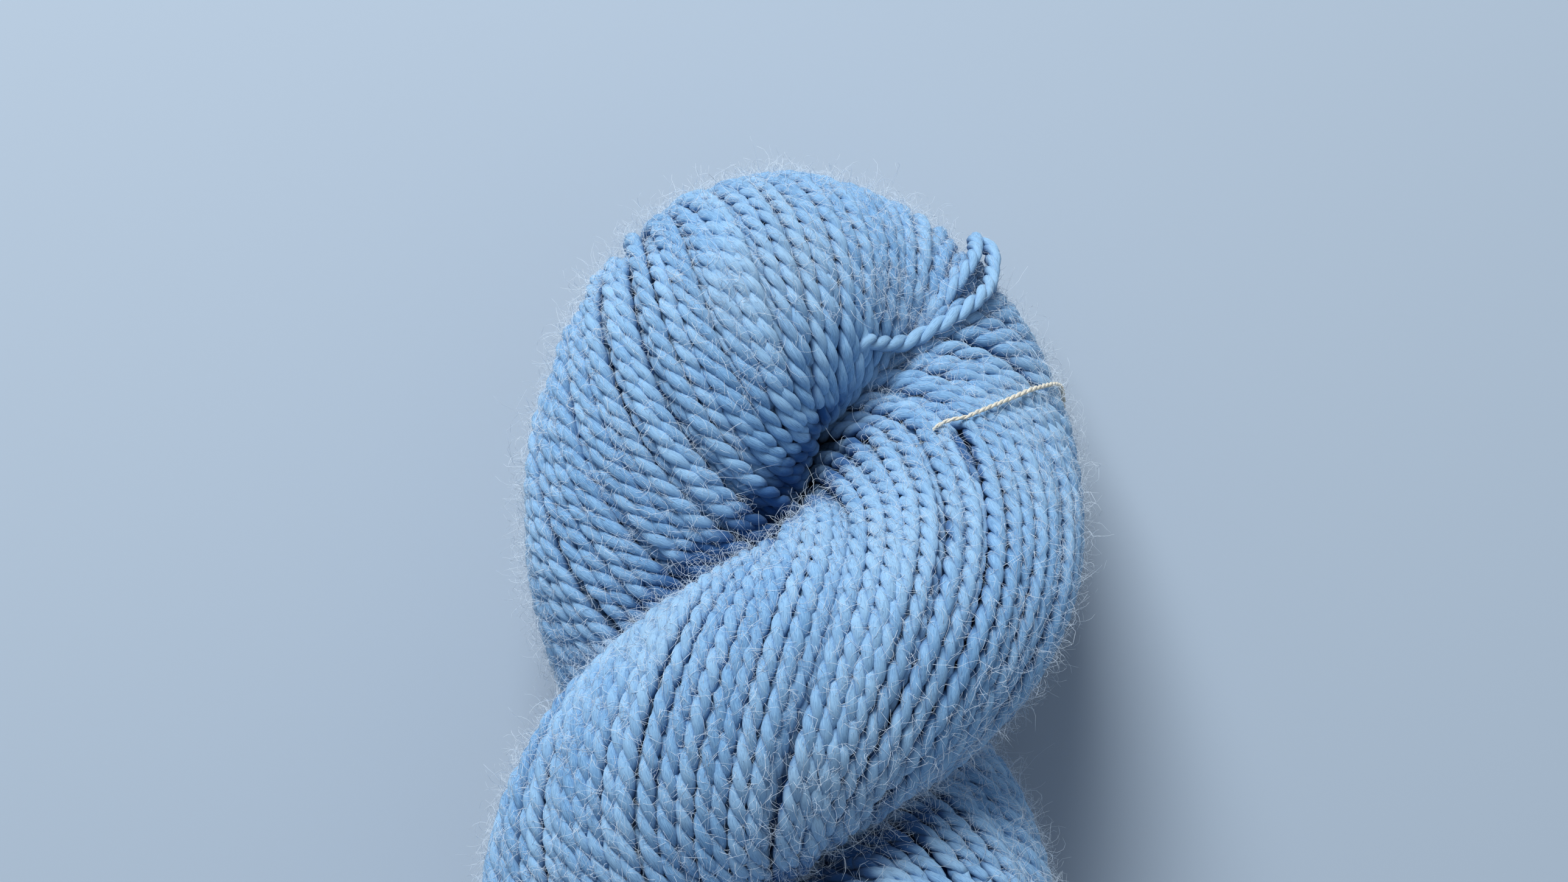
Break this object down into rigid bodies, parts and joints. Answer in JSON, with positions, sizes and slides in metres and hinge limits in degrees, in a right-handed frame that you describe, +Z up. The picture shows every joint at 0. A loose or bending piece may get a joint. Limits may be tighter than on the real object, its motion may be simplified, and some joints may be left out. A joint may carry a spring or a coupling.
{
  "type": "twisted yarn hank",
  "caption": "Hank of light blue plied wool yarn, twisted, folded and tucked into its own end loop, with cream tie threads round it.",
  "frame": {"origin": "middle of the plane the hank rests on, halfway between the folded head and the tucked tail", "axes": "+Z up, +Y along the hank towards its folded head, +X to the right seen from above"},
  "size_m": [0.0518, 0.2768, 0.0452],
  "materials": {
    "yarn_light": "fuzzy woollen-spun two-ply yarn, semi-solid light sky blue",
    "yarn_mid": "fuzzy woollen-spun two-ply yarn, semi-solid dusty blue",
    "tie_thread": "thin matt cream thread"
  },
  "bodies": {
    "head": {"head_loop": "yarn_light", "leg_a_upper": "yarn_mid", "leg_b_upper": "yarn_mid", "tie_thread_head": "tie_thread", "stray_yarn": "yarn_light"},
    "middle": {"leg_a_middle": "yarn_mid", "leg_b_middle": "yarn_mid", "tie_thread_a": "tie_thread", "tie_thread_b": "tie_thread", "yarn_end": "yarn_light"},
    "tail": {"leg_a_lower": "yarn_mid", "leg_b_lower": "yarn_mid", "tail_collar": "yarn_mid", "tie_thread_tail": "tie_thread"},
    "tuck": {"tucked_end": "yarn_mid"}
  },
  "joints": [
    {"name": "upper_bend", "type": "hinge", "parent": "middle", "child": "head", "pos_m": [0, 0.0266, 0.02079], "axis": [1, 0, 0], "range_deg": [-12, 12]},
    {"name": "lower_bend", "type": "hinge", "parent": "middle", "child": "tail", "pos_m": [0, -0.0434, 0.02079], "axis": [-1, 0, 0], "range_deg": [-12, 12]},
    {"name": "tuck_slide", "type": "slide", "parent": "tail", "child": "tuck", "axis": [0, -1, 0], "range_m": [0, 0.012]}
  ]
}
